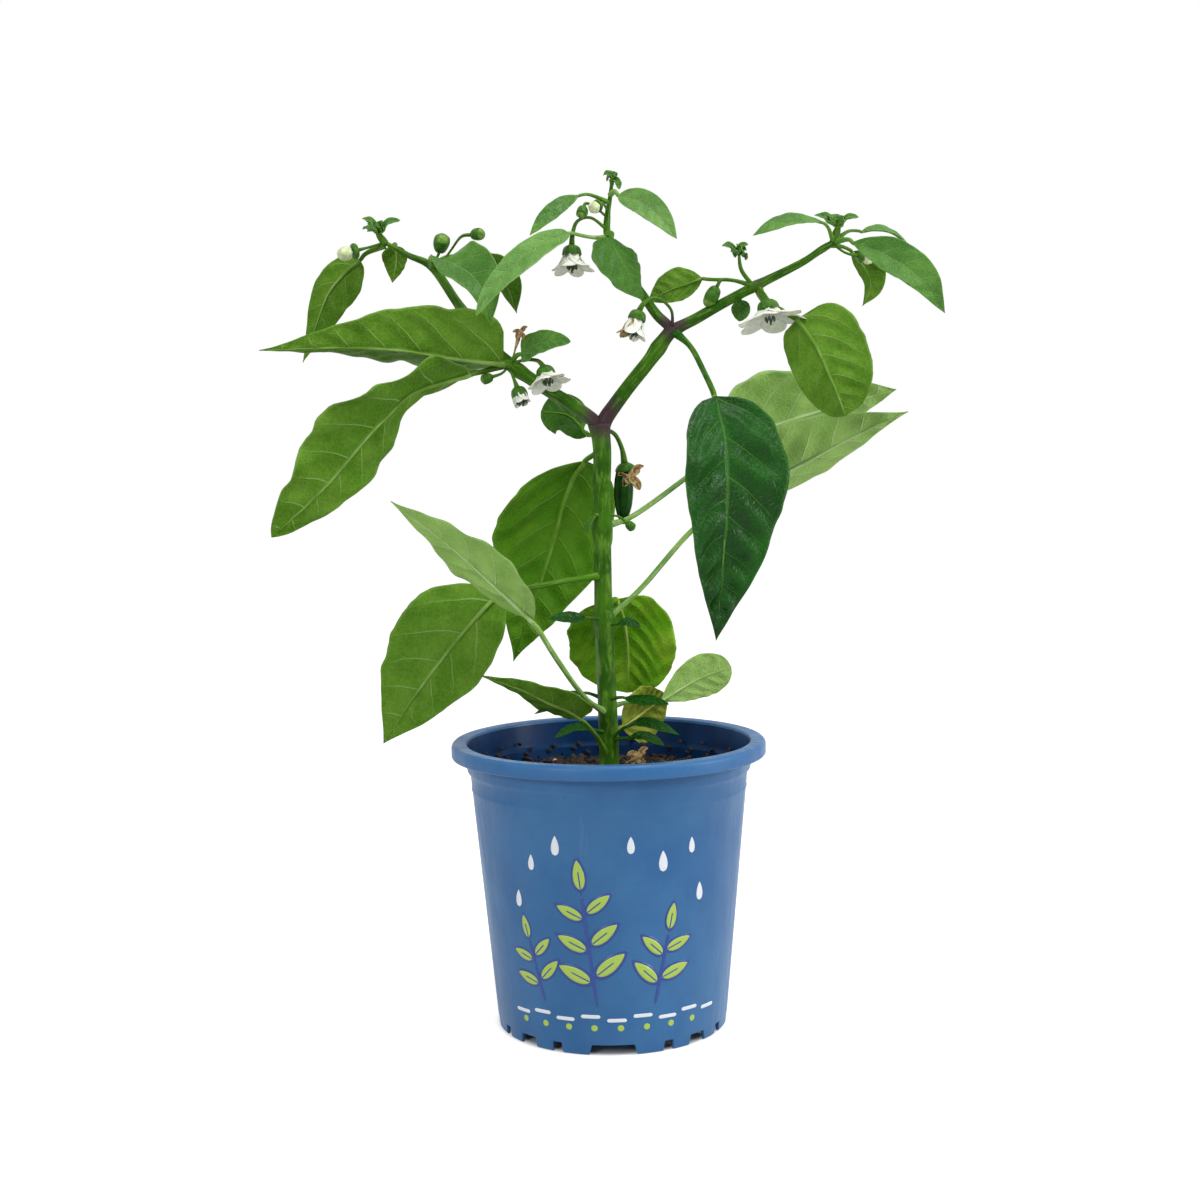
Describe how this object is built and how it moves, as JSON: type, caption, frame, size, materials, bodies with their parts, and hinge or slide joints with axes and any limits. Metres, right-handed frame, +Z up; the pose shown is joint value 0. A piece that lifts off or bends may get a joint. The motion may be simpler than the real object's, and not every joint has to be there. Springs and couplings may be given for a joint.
{
  "type": "potted chilli pepper plant",
  "caption": "Young chilli pepper plant in flower, with broad green leaves and a small pod, in a blue nursery pot.",
  "frame": {"origin": "centre of the pot's foot, on the surface it stands on", "axes": "+Z up along the pot's axis, +X to the right and -Y towards the viewer of the side with the large hanging leaf"},
  "size_m": [0.2664, 0.13, 0.3497],
  "materials": {
    "pot_plastic": "moulded satin",
    "potting_soil": "loose and rough",
    "stem": "satin living stem",
    "leaf": "waxy leaf",
    "bud": "satin",
    "petal": "matte petal",
    "pod": "glossy skin"
  },
  "bodies": {
    "root": {"bud_crown_pale": "bud", "bud_far_pale": "bud", "bud_left_end": "bud", "bud_left_round": "bud", "bud_left_white": "bud", "bud_middle_green": "bud", "bud_middle_pale": "bud", "bud_node_green": "bud", "far_branch": "stem", "flower_far": "petal", "flower_fork": "petal", "flower_left_open": "petal", "flower_left_side": "petal", "flower_middle": "petal", "fruit_cap": "pod", "fruit_pod": "pod", "leaf_back_large": "leaf", "leaf_cluster_small": "leaf", "leaf_crown_back": "leaf", "leaf_crown_hanging": "leaf", "leaf_crown_narrow": "leaf", "leaf_crown_right": "leaf", "leaf_far_inner": "leaf", "leaf_far_round": "leaf", "leaf_far_under": "leaf", "leaf_fork_back": "leaf", "leaf_front_large": "leaf", "leaf_left_drooping": "leaf", "leaf_left_long": "leaf", "leaf_left_lower": "leaf", "leaf_left_outer": "leaf", "leaf_left_raised": "leaf", "leaf_left_small": "leaf", "leaf_left_upper_back": "leaf", "leaf_left_upper_front": "leaf", "leaf_low_back": "leaf", "leaf_low_base": "leaf", "leaf_low_folded": "leaf", "leaf_low_front": "leaf", "leaf_low_spoon": "leaf", "leaf_middle_hanging": "leaf", "leaf_middle_long": "leaf", "leaf_middle_top_left": "leaf", "leaf_middle_top_right": "leaf", "leaf_old_yellow": "leaf", "leaf_right_back": "leaf", "leaf_right_front": "leaf", "leaf_round_back": "leaf", "leaf_small_shelf": "leaf", "left_branch": "stem", "main_stem": "stem", "middle_branch": "stem", "pot": "pot_plastic", "right_branch": "stem", "shoot_far": "leaf", "shoot_far_side": "leaf", "shoot_left": "leaf", "shoot_middle": "leaf", "soil": "potting_soil"}
  },
  "joints": []
}
